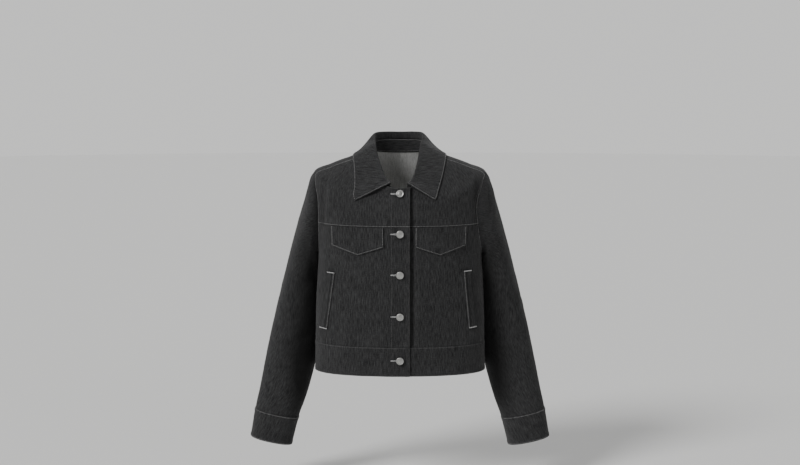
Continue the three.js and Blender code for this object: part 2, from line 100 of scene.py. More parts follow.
def studio_world():
    world = bpy.data.worlds.new("studio")
    bpy.context.scene.world = world
    world.use_nodes = True
    tree = world.node_tree
    seen = tree.nodes.new("ShaderNodeLightPath").outputs["Is Camera Ray"]
    mix = tree.nodes.new("ShaderNodeMix")
    mix.data_type = "RGBA"
    mix.inputs[6].default_value, mix.inputs[7].default_value = AMBIENT, BACKDROP
    tree.links.new(seen, mix.inputs[0])
    tree.links.new(mix.outputs[2], tree.nodes["Background"].inputs["Color"])


soft_light("key_light", **KEY)
soft_light("fill_light", **FILL)
soft_light("rear_light", **REAR)
studio_world()
print("three lamps and a pale backdrop")

# %% [markdown]
# Materials are node trees. A small helper adds a node, sets its values and joins its inputs, so
# that each material below reads as a short list of what the finish is made of.

# %% A helper for nodes


def node(tree, kind, inputs=(), **settings):
    """Adds a node. inputs maps a socket's name or number to a value or to another node's output."""
    made = tree.nodes.new(kind)
    for key, value in settings.items():
        setattr(made, key, value)
    for key, value in dict(inputs).items():
        if isinstance(value, bpy.types.NodeSocket):
            tree.links.new(value, made.inputs[key])
        else:
            made.inputs[key].default_value = value
    return made


def new_material(name):
    """An empty node tree with one shader joined to its output."""
    material = bpy.data.materials.new(name)
    material.use_nodes = True
    tree = material.node_tree
    tree.nodes.clear()
    shader = node(tree, "ShaderNodeBsdfPrincipled")
    node(tree, "ShaderNodeOutputMaterial", {"Surface": shader.outputs[0]})
    return material, tree, shader


def blend_colours(tree, share, first, second, kind="MIX"):
    inputs = {0: share, 6: first, 7: second}
    return node(tree, "ShaderNodeMix", inputs, data_type="RGBA", blend_type=kind).outputs[2]


def maths(tree, kind, first, second):
    return node(tree, "ShaderNodeMath", {0: first, 1: second}, operation=kind).outputs[0]


def stretched_noise(tree, place, across, along, detail=3.0):
    """Noise with features 1/across wide and 1/along long, in metres of cloth."""
    scaled = node(tree, "ShaderNodeMapping", {"Vector": place, "Scale": (across, along, 1)})
    inputs = {"Vector": scaled.outputs[0], "Scale": 1.0, "Detail": detail}
    return node(tree, "ShaderNodeTexNoise", inputs).outputs[0]


def ranged(tree, value, low, high, out_low=0.0, out_high=1.0):
    made = node(tree, "ShaderNodeMapRange", {0: value, 1: low, 2: high, 3: out_low, 4: out_high})
    return made.outputs[0]


# %% [markdown]
# Denim is a twill: dark lengthways threads run over and under pale crossways ones, a step aside
# in each row, so its face shows fine slanting ribs. The threads are uneven, which gives the short
# pale streaks along the grain. All of it is worked out on a UV map in real metres, so the weave
# runs along each panel as it was cut. A mesh attribute says where the cloth has rubbed pale, along
# turned edges. Where it is below zero it carries painted shade, which darkens the colour under
# the arms, beside the lap, in a fold by the armhole, in the welts and along the edges that go in
# under their neighbours.

# %% Denim, face and reverse
RIB_PITCH, RIB_LEAN = 0.0011, math.radians(27)
# How far the painted shade darkens the colour at most, as a share of it.
DARKEST_PAINTED_SHADE = 0.12
FACE = dict(dark=(0.005, 0.005, 0.0055, 1), pale=(0.053, 0.053, 0.054, 1), wear_and_shade=(0.13, 0.13, 0.13, 1))
REVERSE = dict(dark=(0.42, 0.42, 0.41, 1), pale=(0.72, 0.72, 0.71, 1), wear_and_shade=(0.62, 0.62, 0.61, 1))
NOISES = {"slubs": (560, 62), "streaks": (300, 20), "clouds": (26, 17), "specks": (300, 420, 1.0)}
WEIGHTS = {"ribs": 0.22, "slubs": 1.8, "streaks": 0.6, "clouds": 0.4, "specks": 0.7}


def denim(name, dark, pale, wear_and_shade, lean=1.0):
    material, tree, shader = new_material(name)
    place = node(tree, "ShaderNodeUVMap", uv_map="weave").outputs[0]
    parts = {part: stretched_noise(tree, place, *size) for part, size in NOISES.items()}
    turned = node(tree, "ShaderNodeMapping", {"Vector": place, "Rotation": (0, 0, lean * RIB_LEAN)})
    scale = 0.05 / RIB_PITCH * 2 * math.pi
    wave = {"Vector": turned.outputs[0], "Scale": scale, "Distortion": 1.2, "Detail": 1.0}
    parts["ribs"] = node(tree, "ShaderNodeTexWave", wave, bands_direction="X").outputs[0]
    total = None
    for part, weight in WEIGHTS.items():
        weighed = maths(tree, "MULTIPLY", maths(tree, "SUBTRACT", parts[part], 0.5), weight)
        total = weighed if total is None else maths(tree, "ADD", total, weighed)
    woven = blend_colours(tree, ranged(tree, total, -0.5, 0.5), dark, pale)
    # The mesh attribute: pale wear along turned edges above zero, painted shade below zero.
    rub_and_shade = node(tree, "ShaderNodeAttribute", attribute_name="wear_and_shade").outputs["Fac"]
    patchy = maths(tree, "MULTIPLY", rub_and_shade, ranged(tree, parts["slubs"], 0.3, 0.7, 0.35, 1.0))
    colour = blend_colours(tree, patchy, woven, wear_and_shade)
    # Painted shade: where the attribute is below zero the colour is multiplied darker, to 0.12 of it at -1.
    painted_shade_factor = ranged(tree, rub_and_shade, -1, 0, DARKEST_PAINTED_SHADE, 1)
    shade = node(tree, "ShaderNodeCombineColor", {0: painted_shade_factor, 1: painted_shade_factor, 2: painted_shade_factor}).outputs[0]
    colour = blend_colours(tree, 1.0, colour, shade, "MULTIPLY")
    relief = maths(tree, "ADD", parts["ribs"], parts["slubs"])
    bump = node(tree, "ShaderNodeBump", {"Strength": 0.55, "Distance": 0.0004, "Height": relief})
    tree.links.new(colour, shader.inputs["Base Color"])
    tree.links.new(bump.outputs[0], shader.inputs["Normal"])
    shader.inputs["Roughness"].default_value = 0.93
    shader.inputs["Specular IOR Level"].default_value = 0.25
    shader.inputs["Sheen Weight"].default_value = 0.12
    shader.inputs["Sheen Roughness"].default_value = 0.5
    return material


denim_face = denim("washed_black_denim", **FACE)
denim_reverse = denim("denim_reverse", lean=-1.0, **REVERSE)
print("denim ribs every", RIB_PITCH * 1000, "mm")

# %% [markdown]
# Topstitching thread is a grey twisted yarn, nearly matt, and a fine noise breaks up its colour as
# lint and wear do. The rows along the seams have gone dark in the wash, those on the collar, the
# yokes and the flaps are paler, and the closely worked buttonholes and bar tacks are palest.

# %% Thread
THREAD_TONES = {"dark": (0.035, 0.10), "mid": (0.15, 0.36), "pale": (0.30, 0.60)}


def thread_material(tone, low, high):
    material, tree, shader = new_material(tone + "_grey_thread")
    place = node(tree, "ShaderNodeTexCoord").outputs["Object"]
    lint = node(tree, "ShaderNodeTexNoise", {"Vector": place, "Scale": 420.0, "Detail": 2.0}).outputs[0]
    colour = blend_colours(tree, ranged(tree, lint, 0.3, 0.7), (low, low, low, 1), (high, high, high, 1))
    tree.links.new(colour, shader.inputs["Base Color"])
    shader.inputs["Roughness"].default_value = 0.7
    shader.inputs["Sheen Weight"].default_value = 0.1
    return material


THREADS = {tone: thread_material(tone, *ends) for tone, ends in THREAD_TONES.items()}
print("threads:", ", ".join(THREADS))

# %% [markdown]
# The form. The jacket's body is a stack of rings from the hem up to the neck seam. Each ring is a
# rounded square seen from above, and its height dips or climbs towards centre front and centre
# back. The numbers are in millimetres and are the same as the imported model's, so the cloth lies
# exactly where the solids are. A smooth curve through the table's rows gives every level between.

# %% The tables of the form


def columns(names, rows):
    """A table with named columns."""
    return dict(zip(names.split(), np.array(rows, float).T))


HEM, WAIST_SEAM, WAIST, UNDERARM, YOKE, UPPER_CHEST, TIP, OUTER_SHOULDER, INNER_SHOULDER, NECK = range(10)
RINGS = columns("half y front back z_front z_side z_back square", [
    (195, -24, 88, 122, -509, -508, -511, 2.35),
    (194, -24, 86, 120, -443, -441, -443, 2.35),
    (191.5, -24, 87, 120, -343, -341, -342, 2.35),
    (186, -22, 89, 126, -240, -237, -240, 2.35),
    (190, -18, 90, 124, -173, -170, -190, 2.3),
    (194, -10, 93, 112, -141, -111, -150, 2.25),
    (197, -3, 94, 97, -119, -57, -108, 2.2),
    (158, -3, 89, 88, -109, -37, -74, 2.15),
    (112, -5, 83, 77, -99, -20, -42, 2.1),
    (71, -9, 76, 67, -88, -6, -14, 2.05),
])
DIP_FRONT, DIP_BACK = 3, 2.4
FOLDS = columns("x z run wide deep side", [
    (-166, -118, 130, 15, 2.6, -1),
    (170, -110, 90, 11, 1.8, -1),
    (-120, -330, 150, 38, 2.2, -1),
    (128, -350, 140, 34, 2.0, -1),
    (-130, -220, 170, 20, 3.0, 1),
    (134, -230, 160, 20, 2.6, 1),
    (20, -380, 150, 46, 3.2, 1),
])
print("rings:", len(RINGS["half"]), "folds:", len(FOLDS["x"]))

# %% The body's surface


def smoothstep(x, start, end):
    f = np.clip((x - start) / (end - start), 0, 1)
    return f * f * (3 - 2 * f)


def bell(x, wide=1, power=2):
    """1 at x = 0, fading to nothing on both sides; a higher power has a flatter top."""
    return np.exp(-((x / wide) ** power))


def between(table, column, at):
    """A smooth value between a table's rows, at a row number that needn't be whole."""
    rows = table[column]
    last = len(rows) - 1
    x = np.clip(at, 0, last)
    i = np.minimum(np.floor(x).astype(int), last - 1)
    f = x - i
    padded = np.concatenate([[2 * rows[0] - rows[1]], rows, [2 * rows[-1] - rows[-2]]])
    before, here, there, after = (padded[i + k] for k in range(4))
    f2, f3 = f * f, f * f * f
    return (
        here * (2 * f3 - 3 * f2 + 1)
        + (there - before) / 2 * (f3 - 2 * f2 + f)
        + there * (3 * f2 - 2 * f3)
        + (after - here) / 2 * (f3 - f2)
    )


def squared(angle, square):
    return (np.abs(np.cos(angle)) ** square + np.abs(np.sin(angle)) ** square) ** (-1 / square)


def ring_side(sine, t, front, back):
    return np.where(sine < 0, between(RINGS, front, t), between(RINGS, back, t))


def plain_body(angle, t):
    """The body with no folds. Angle 0 is the +X side, -90 degrees the front."""
    angle, t = np.broadcast_arrays(np.asarray(angle, float), np.asarray(t, float))
    sine = np.sin(angle)
    k = squared(angle, between(RINGS, "square", t))
    dip = 1 - np.abs(np.cos(angle)) ** np.where(sine < 0, DIP_FRONT, DIP_BACK)
    z_side = between(RINGS, "z_side", t)
    return np.stack([
        between(RINGS, "half", t) * k * np.cos(angle),
        between(RINGS, "y", t) + ring_side(sine, t, "front", "back") * k * sine,
        z_side + (ring_side(sine, t, "z_front", "z_back") - z_side) * dip,
    ], axis=-1)


STEP = 1e-3


def unit(vectors):
    return vectors / np.maximum(np.linalg.norm(vectors, axis=-1, keepdims=True), 1e-12)


def run_u(surface, u, v):
    return (surface(u + STEP, v) - surface(u - STEP, v)) / (2 * STEP)


def run_v(surface, u, v):
    return (surface(u, v + STEP) - surface(u, v - STEP)) / (2 * STEP)


def facing(surface, u, v):
    return unit(np.cross(run_u(surface, u, v), run_v(surface, u, v)))


def fold_depth(points):
    depth = 0
    for x, z, run, wide, deep, side in zip(*FOLDS.values()):
        across, along = bell(points[..., 0] - x, wide), bell(points[..., 2] - z, run / 2, 4)
        here = np.sign(points[..., 1]) == side
        depth = depth + here * deep * across * along
    return depth


def on_body(angle, t, lift=0.0):
    """A point of the body's cloth, moved out by lift."""
    points = plain_body(angle, t)
    out = facing(plain_body, angle, t)
    return points + out * (lift - fold_depth(points))[..., None]


print("front neck point, mm:", plain_body(-math.pi / 2, NECK).round(1))

# %% [markdown]
# Three small searches place things on the body: the angle at which it has a given x, the level a
# given distance down the cloth, and the level at a given height.

# %% Finding places on the body


def halving(low, high, too_low):
    """Narrows low and high to where too_low turns false."""
    for _ in range(40):
        middle = (low + high) / 2
        below = too_low(middle)
        low, high = np.where(below, middle, low), np.where(below, high, middle)
    return (low + high) / 2


def angle_at_x(x, t):
    x, t = np.broadcast_arrays(np.asarray(x, float), np.asarray(t, float))
    left = np.full(x.shape, -math.pi)
    return halving(left, np.zeros(x.shape), lambda a: plain_body(a, t)[..., 0] < x)


def level_at_z(angle, z):
    z = np.asarray(z, float)
    top = np.full(z.shape, float(NECK))
    return halving(np.zeros(z.shape), top, lambda t: plain_body(angle, t)[..., 2] < z)


def level_below(angle, t, distance):
    steps = 8
    for _ in range(steps):
        t = t - distance / steps / np.linalg.norm(run_v(plain_body, angle, t), axis=-1)
    return t


LAP_TOP_X, LAP_UNDER_X = 22, -18
LAP_LIFT, LAP_RAMP_X, LAP_FLAT_X = 2.1, -58, -24


def lap_lift(x):
    """The wearer's right front rises over the left one towards centre front."""
    return LAP_LIFT * smoothstep(x, LAP_RAMP_X, LAP_FLAT_X)


print("level 50 mm below the yoke seam:", level_below(-math.pi / 2, YOKE, 50).round(3))

# %% [markdown]
# A cloth piece starts as a flat grid from `bmesh.ops.create_grid`. Its corners and lines are then
# sent to their places on the form, as when a pattern piece is laid round a dress form. Lines are
# close together near the edges, where turned edges and stitch rows need relief, and wider apart
# in the middle. The grid's distances along the cloth become its UV map in metres, so the weave
# follows the cut.

# %% Lines across a piece
EDGE_LINES = (0, 0.8, 1.7, 2.6, 3.8, 5.4, 7.2, 9.4)
CLOTH_STEP = 3.6


def stations(length, step=CLOTH_STEP):
    """Shares from 0 to 1 for lines across a piece of that length, close together at both ends."""
    near = np.array(EDGE_LINES, float)
    lines = max(2, 2 * round((length - 2 * near[-1]) / step / 2)) + 1
    middle = np.linspace(near[-1], length - near[-1], lines)
    return np.concatenate([near[:-1], middle, (length - near[:-1])[::-1]]) / length


def arc_lengths(points, axis):
    """The distance along the cloth from a grid's first line, for every point."""
    steps = np.linalg.norm(np.diff(points, axis=axis), axis=-1)
    first = np.zeros_like(np.take(steps, [0], axis=axis))
    return np.concatenate([first, np.cumsum(steps, axis=axis)], axis=axis)


def grid_normals(points, flip, closed):
    across, along = np.gradient(points, axis=0), np.gradient(points, axis=1)
    if closed:
        across[0] = across[-1] = points[1] - points[-2]
    return unit(np.cross(across, along)) * (-1 if flip else 1)


print("lines across a 190 mm panel:", len(stations(190)))

# %% [markdown]
# Relief. Where a piece's edge is turned in and topstitched, it stands a little proud up to the
# stitch row, dips under the thread and puckers along it. Long creases are soft troughs with a low
# ridge beside them. Each is placed where the photograph shows one, and the sides that it doesn't
# show get similar ones.

# %% Relief of edges and creases
TURN_HEIGHT, TURN_WIDTH = 0.7, 7.0
FLAT_HEIGHT = 0.45
PUCKER = 0.45
RIPPLES = ((8.3, 0.30), (13.7, 0.36), (22.9, 0.34))
SWELLS = ((61, 0.6, 0.20), (43, 2.1, 0.15), (29, 1.2, 0.10), (88, 2.7, 0.25))


def ripple(along, seed):
    """An uneven wave along a seam, between about -1 and 1."""
    total = 0
    for i, (length, size) in enumerate(RIPPLES):
        total = total + size * np.sin(2 * math.pi * along / length + seed * (i + 1.7))
    return total


def edge_relief(inset, along, seed, rows, height):
    """Height and wear near an edge, from the distance to it and the distance along it."""
    raised = height * (1 - smoothstep(inset, TURN_WIDTH - 1.5, TURN_WIDTH + 2.5))
    rounded = -0.6 * height * bell(inset, 0.9)
    dips = sum(-0.35 * bell(inset - row, 1.1) for row in rows)
    puckers = PUCKER * ripple(along, seed) * bell(inset - 4, 6.5)
    wear_and_shade = (0.30 + 0.22 * ripple(along, seed + 2)) * bell(inset, 1.5)
    wear_and_shade = wear_and_shade + 0.10 * np.clip(ripple(along, seed), 0, 1) * bell(inset - 4, 4)
    return raised + rounded + dips + puckers, wear_and_shade


def under_relief(inset, along, seed):
    """An edge that goes in under its neighbour sinks a little, and puckers with it."""
    return -0.5 * np.exp(-inset / 1.2) + 0.6 * PUCKER * ripple(along, seed) * bell(inset, 8)


def crease_height(points, creases, middle_y=0.0):
    """A crease is the x and z of its middle, its lean in degrees, its length, width and depth,
    and -1 where it lies on the front or 1 on the back."""
    height = np.zeros(points.shape[:-1])
    for x, z, lean, length, wide, deep, side in creases:
        turn = math.radians(lean)
        dx, dz = points[..., 0] - x, points[..., 2] - z
        across = (dx * math.cos(turn) + dz * math.sin(turn)) / wide
        along = (dz * math.cos(turn) - dx * math.sin(turn)) / (length / 2)
        trough = -bell(across) + 0.4 * bell(across - 1.7)
        here = smoothstep(side * (points[..., 1] - middle_y), -6, 14)
        height += deep * trough * bell(along, 1, 4) * here
    return height


def unevenness(across, along, seed):
    """Cloth is never quite flat: broad low swells, a fraction of a millimetre high."""
    total = 0
    for length, turn, size in SWELLS:
        run = across * math.cos(turn) + along * math.sin(turn)
        total = total + size * np.sin(2 * math.pi * run / length + seed * turn * 3.1)
    return total


print("a turned edge stands", TURN_HEIGHT, "mm proud")

# %% [markdown]
# The helper that makes a finished piece of cloth: relief on the form, then the grid, its UV map
# and an attribute of wear and painted shade, and a Solidify modifier that gives it its thickness
# inwards. The modifier puts the second material on the inside, because denim's reverse is paler
# than its face.

# %% Make a piece of cloth
MADE = {}
CALM_WIDTH = 12


def cloth_piece(name, points, *, thick, seed, edges=(), creases=(), extra=None, shade_painter=None,
                middle_y=0.0, flip=False, closed=False, crosswise=False, inside=None, origin=(0.5, 0)):
    """edges maps start, end, foot and head to a kind of edge and the insets of its stitch rows.
    extra gives more relief and the argument after it gives painted shade; origin is where the weave's map
    starts."""
    across, along = arc_lengths(points, 0), arc_lengths(points, 1)
    insets = {"start": (across, along), "end": (across[-1:] - across, along),
              "foot": (along, across), "head": (along[:, -1:] - along, across)}
    height = 0.35 * unevenness(across, along, seed) + crease_height(points, creases, middle_y)
    for edge, (kind, _) in dict(edges).items():
        if kind != "turned":
            height = height * smoothstep(insets[edge][0], 0, CALM_WIDTH)
    wear_and_shade = np.zeros(height.shape)
    for i, (edge, (kind, rows)) in enumerate(dict(edges).items()):
        inset, run = insets[edge]
        if kind == "under":
            height = height + under_relief(inset, run, seed + i)
            # Painted shade along an edge that goes in under its neighbour: the colour there is darkened.
            wear_and_shade = wear_and_shade - 0.5 * bell(inset, 2.4)
        else:
            stands = FLAT_HEIGHT if kind == "flat" else TURN_HEIGHT
            raised, rubbed = edge_relief(inset, run, seed + i, rows, stands)
            height, wear_and_shade = height + raised, np.maximum(wear_and_shade, rubbed)
    if extra is not None:
        height = height + extra(points, across, along)
    # Painted shade from the function given for it darkens the colour here.
    if shade_painter is not None:
        wear_and_shade = wear_and_shade - shade_painter(points, across, along)
    if closed:
        height[-1], wear_and_shade[-1] = height[0], wear_and_shade[0]
    normals = grid_normals(points, flip, closed)
    points = points + normals * height[..., None]
    zero = round(origin[0] * (len(points) - 1)), round(origin[1] * (points.shape[1] - 1))
    uv = np.stack([across - across[zero[0]], along - along[:, zero[1]:zero[1] + 1]], axis=-1) * MM
    if crosswise:
        uv = uv[..., ::-1]
    obj = cloth_mesh(name, points, uv + seed * 0.37, wear_and_shade, flip, closed)
    obj.data.materials.append(denim_face)
    obj.data.materials.append(inside or denim_reverse)
    solid = obj.modifiers.new("thickness", "SOLIDIFY")
    solid.thickness, solid.offset = thick * MM, -1
    solid.material_offset, solid.material_offset_rim = 1, 0
    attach(obj, "root")
    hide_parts(name.removesuffix("_cloth"))
    cut = across.max() * MM, along.max() * MM
    area = min(cloth_area(points) * MM * MM, cut[0] * cut[1])
    normals = grid_normals(points, flip, closed)
    MADE[name] = SimpleNamespace(obj=obj, points=points, normals=normals, cut=cut, area=area, stitches=[])
    print(name, "cut", round(cut[0] * 1000), "by", round(cut[1] * 1000), "mm")


def finished(bm, name):
    """Turns new geometry into an object."""
    mesh = bpy.data.meshes.new(name)
    bm.to_mesh(mesh)
    bm.free()
    return placed(name, mesh)


def cloth_mesh(name, points, uv, wear_and_shade, flip, closed):
    columns, rows = points.shape[0] - 1, points.shape[1] - 1
    bm = bmesh.new()
    bmesh.ops.create_grid(bm, x_segments=columns, y_segments=rows, size=1)
    # The float layer holds wear above zero and painted shade below zero.
    weave, wear = bm.loops.layers.uv.new("weave"), bm.verts.layers.float.new("wear_and_shade")
    for vert in bm.verts:
        i, j = round((vert.co.x + 1) / 2 * columns), round((vert.co.y + 1) / 2 * rows)
        vert.co = points[i, j] * MM
        vert[wear] = wear_and_shade[i, j]
        for loop in vert.link_loops:
            loop[weave].uv = uv[i, j]
    for face in bm.faces:
        face.smooth = True
    if closed:
        bmesh.ops.remove_doubles(bm, verts=bm.verts, dist=1e-5)
    if flip:
        bmesh.ops.reverse_faces(bm, faces=bm.faces)
    return finished(bm, name)


def cloth_area(points):
    one = np.cross(points[1:, :-1] - points[:-1, :-1], points[:-1, 1:] - points[:-1, :-1])
    two = np.cross(points[1:, :-1] - points[1:, 1:], points[:-1, 1:] - points[1:, 1:])
    return (np.linalg.norm(one, axis=-1).sum() + np.linalg.norm(two, axis=-1).sum()) / 2


# %% [markdown]
# The fronts, their yokes and the back are cut from the body's surface. Their outer edges follow
# the side seam, then the armhole, then the shoulder seam. The wearer's right front laps over the
# left one, so it is raised a little there, and it has a turned facing that shows as a step.

# %% Where the armholes and seams run
SIDE_SEAM, SHOULDER_SEAM = 4, -13
ARMHOLE = dict(front_right=13.5, front_left=23.5, front_lean=5, back=30, round=0.4)
ARM_MIDDLE, ARM_HALF = (UNDERARM + TIP) / 2, (TIP - UNDERARM) / 2
SEAM_GAP, REST_GAP, CLOTH, BAND_CLOTH = 0.3, 0.35, 1.5, 2.2
TUCK = 2.2
FOOT_MOVES = {HEM: 0, WAIST_SEAM: -TUCK, YOKE: SEAM_GAP / 2}
HEAD_MOVES = {WAIST_SEAM: 0, YOKE: TUCK, NECK: 0}


def seam_angle(t):
    f = np.clip((t - UNDERARM) / (TIP - UNDERARM), 0, 1)
    return np.radians(SIDE_SEAM + (SHOULDER_SEAM - SIDE_SEAM) * f)


def armhole_reach(up, edge):
    bow = np.maximum(0, 1 - up * up) ** ARMHOLE["round"]
    reach = ARMHOLE["back"] if edge == "back" else ARMHOLE["front_lean"] * up - ARMHOLE[edge]
    return np.radians(reach) * bow


def panel_edge(t, edge):
    return seam_angle(t) + armhole_reach(np.clip((t - ARM_MIDDLE) / ARM_HALF, -1, 1), edge)


def row_levels(start, end, angle):
    """Levels from start to end, even along the cloth, and closer at the armhole's two ends."""
    fine = np.linspace(start, end, 600)
    length = arc_lengths(plain_body(angle, fine), 0)
    even = np.interp(stations(length[-1]) * length[-1], length, fine)
    arm = ARM_MIDDLE - ARM_HALF * np.cos(np.linspace(0, math.pi, 45))
    ends = arm[(np.abs(arm - ARM_MIDDLE) > 0.85 * ARM_HALF) & (arm > start + 0.02) & (arm < end - 0.02)]
    rows = np.sort(np.concatenate([even, ends]))
    return rows[np.concatenate([[True], np.diff(rows) > 0.004])]


def body_panel(shares, rows, start, end, lift):
    """Points of a panel between two angles at each level. Its foot and head go in under what they
    are sewn to."""
    share, t = np.meshgrid(shares, rows, indexing="ij")
    angle = start(t) + (end(t) - start(t)) * share
    points = on_body(angle, t, lift(angle, t))
    up = unit(run_v(plain_body, angle, t))
    points[:, 0] += up[:, 0] * FOOT_MOVES[rows[0]]
    points[:, -1] += up[:, -1] * HEAD_MOVES[rows[-1]]
    return points


def no_lift(angle, t):
    return np.zeros(angle.shape)


print("the right armhole reaches", ARMHOLE["front_right"], "degrees round the front")

# %% Fronts and front yokes
SEAM_ROWS = (2.0, 8.0)
EDGE_ROW = (2.2,)
TURNED, FLAT, UNDER = ("turned", EDGE_ROW), ("flat", SEAM_ROWS), ("under", ())
PLACKET_ROW = 41
FRONT_CREASES = [
    (-172, -128, -4, 120, 6.5, 3.0, -1),
    (-150, -250, 28, 90, 16, 1.5, -1),
    (-92, -395, -12, 110, 20, 1.2, -1),
    (178, -128, 6, 90, 8, 1.3, -1),
    (112, -302, -47, 150, 22, 2.2, -1),
    (150, -390, -30, 90, 16, 1.3, -1),
    (58, -250, -14, 130, 18, 0.9, -1),
]
LAP_SHADOW = (29, -270, 0, 420, 6, 3.6, -1)
# How dark, where and how wide the painted shade is on the left front: a painted shadow beside the lap and
# painted shade in the fold by the armhole.
LAP_SHADE, LAP_SHADE_X, LAP_SHADE_WIDE = 0.62, 24, 5
FOLD_SHADE, FOLD_X, FOLD_WIDE, FOLD_Z, FOLD_HALF = 0.75, 172, 6, -125, 55


def placket_step(points, across, along):
    """The facing's fold makes the right front a little thicker up to its topstitched line."""
    from_edge = across[-1:] - across
    curl = 1.2 * bell(from_edge, 14)
    return 0.5 * (1 - smoothstep(from_edge, PLACKET_ROW - 1, PLACKET_ROW + 3)) + curl


def front_painted_shade(points, across, along):
    """Painted shade on the left front: a painted shadow beside the lap, and painted shade in the fold beside
    its armhole.
    """
    x, z = points[..., 0], points[..., 2]
    lap = LAP_SHADE * bell(x - LAP_SHADE_X, LAP_SHADE_WIDE)
    fold = FOLD_SHADE * bell(x - FOLD_X, FOLD_WIDE) * bell(z - FOLD_Z, FOLD_HALF, 4)
    return lap + fold


def front_piece(side, part, seed):
    right = side == "right"
    low, high = (WAIST_SEAM, YOKE) if part == "panel" else (YOKE, NECK)
    rows = row_levels(low, high, -math.radians(60))

    def outer(t):
        return -math.pi - panel_edge(t, "front_right") if right else panel_edge(t, "front_left")

    def centre(t):
        return angle_at_x(LAP_TOP_X if right else LAP_UNDER_X, t)

    def lift(angle, t):
        return lap_lift(plain_body(angle, t)[..., 0]) if right else no_lift(angle, t)

    start, end = (outer, centre) if right else (centre, outer)
    points = body_panel(stations(200 if part == "panel" else 170), rows, start, end, lift)
    arm, lap = ("start", "end") if right else ("end", "start")
    ends = {"foot": UNDER, "head": UNDER} if part == "panel" else {"foot": TURNED}
    cloth_piece(
        f"front_{part}_{side}_cloth", points, thick=CLOTH, seed=seed,
        edges={arm: FLAT, lap: TURNED, **ends},
        creases=FRONT_CREASES + ([] if right else [LAP_SHADOW]),
        extra=placket_step if right else None, shade_painter=None if right else front_painted_shade,
        origin=(1, 0) if right else (0, 0),
    )


for side, seed in (("right", 1), ("left", 2)):
    front_piece(side, "panel", seed)
    front_piece(side, "yoke", seed + 2)

# %% [markdown]
# The back is one piece from side seam to side seam, up over the shoulder blades to the neck. The
# photograph shows only its inside, through the neck, so it is finished plainly, with long soft
# folds where a filled-out back has them.

# %% Back panel
BACK_CREASES = [
    (-142, -300, 8, 170, 15, 1.8, 1),
    (138, -280, -10, 150, 14, 1.6, 1),
    (-95, -150, -34, 90, 14, 1.3, 1),
    (100, -160, 30, 80, 13, 1.2, 1),
    (-40, -370, 14, 140, 20, 1.4, 1),
    (62, -390, -8, 110, 17, 1.2, 1),
    (4, -250, 3, 200, 26, 1.2, 1),
]
back_points = body_panel(
    stations(470), row_levels(WAIST_SEAM, NECK, math.radians(60)),
    lambda t: panel_edge(t, "back"), lambda t: math.pi - panel_edge(t, "back"), no_lift,
)
cloth_piece("back_panel_cloth", back_points, thick=CLOTH, seed=5, creases=BACK_CREASES,
            edges={"start": FLAT, "end": FLAT, "foot": UNDER, "head": UNDER})

# %% [markdown]
# The waistband is a doubled strip, sewn on below the seam and buttoned at centre front. It runs
# once round the body, from the under end to the top end, where it rises over itself.

# %% Waistband
BAND_LIFT = 0.4


def band_lift(angle, t):
    rise = smoothstep(plain_body(angle, t)[..., 0], LAP_RAMP_X, LAP_FLAT_X) * (angle > math.pi)
    return BAND_LIFT + (BAND_CLOTH + REST_GAP) * rise


band_rows = HEM + (WAIST_SEAM - HEM) * stations(67)
band_points = body_panel(
    stations(1030, 4.2), band_rows, lambda t: angle_at_x(LAP_UNDER_X, t),
    lambda t: 2 * math.pi + angle_at_x(LAP_TOP_X, t), band_lift,
)
cloth_piece("waistband_cloth", band_points, thick=BAND_CLOTH, seed=6, inside=denim_face,
            edges={"start": TURNED, "end": TURNED, "foot": TURNED, "head": TURNED})

# %% [markdown]
# A sleeve is a tube whose top edge is the armhole itself. Sections down the arm give its outer and
# inner line, as seen from the front, and its depth; over the first rows the armhole's outline
# fades into them. One sleeve is worked out on the +X side and mirrored for the other arm. The
# creases are not mirrored: each sleeve has its own.

# %% The sleeve's surface
SLEEVE = columns("x_out z_out x_in z_in y deep square", [
    (197, -57, 186, -237, 6, 52, 2.1),
    (205, -70, 188.5, -243, 7, 57, 2.1),
    (212, -92, 190, -250, 8, 60, 2.15),
    (222, -126, 191, -259, 10, 62, 2.2),
    (236, -173, 190, -274, 13, 62, 2.2),
    (252, -232, 187, -297, 17, 60, 2.2),
    (268, -294, 183, -333, 21, 56, 2.2),
    (284, -356, 182, -382, 24, 51, 2.2),
    (299, -420, 186, -441, 23, 46, 2.2),
    (314, -490, 200, -512, 19, 41, 2.2),
    (327, -557, 219, -580, 13, 37, 2.25),
    (338, -608, 237, -630, 8, 34, 2.3),
    (349, -674, 254, -695, 4, 31, 2.3),
])
CAP_ROWS, BODY_CLEAR, BODY_TOUCH, MOST_INWARDS, ARM_TUCK = 3, 2.2, 0.8, 3.5, 1.2
CUFF_TOP, CUFF_HEIGHT, CUFF_LIFT = 11, 68, 0.7


def plain_sleeve(angle, v):
    angle, v = np.broadcast_arrays(np.asarray(angle, float), np.asarray(v, float))
    k = squared(angle, between(SLEEVE, "square", v))
    outer, inner = (
        np.stack([between(SLEEVE, "x_" + line, v), 0 * v, between(SLEEVE, "z_" + line, v)], -1)
        for line in ("out", "in")
    )
    points = (outer + inner) / 2 + (outer - inner) * (k * np.cos(angle) / 2)[..., None]
    points[..., 1] = between(SLEEVE, "y", v) + between(SLEEVE, "deep", v) * k * np.sin(angle)
    return points


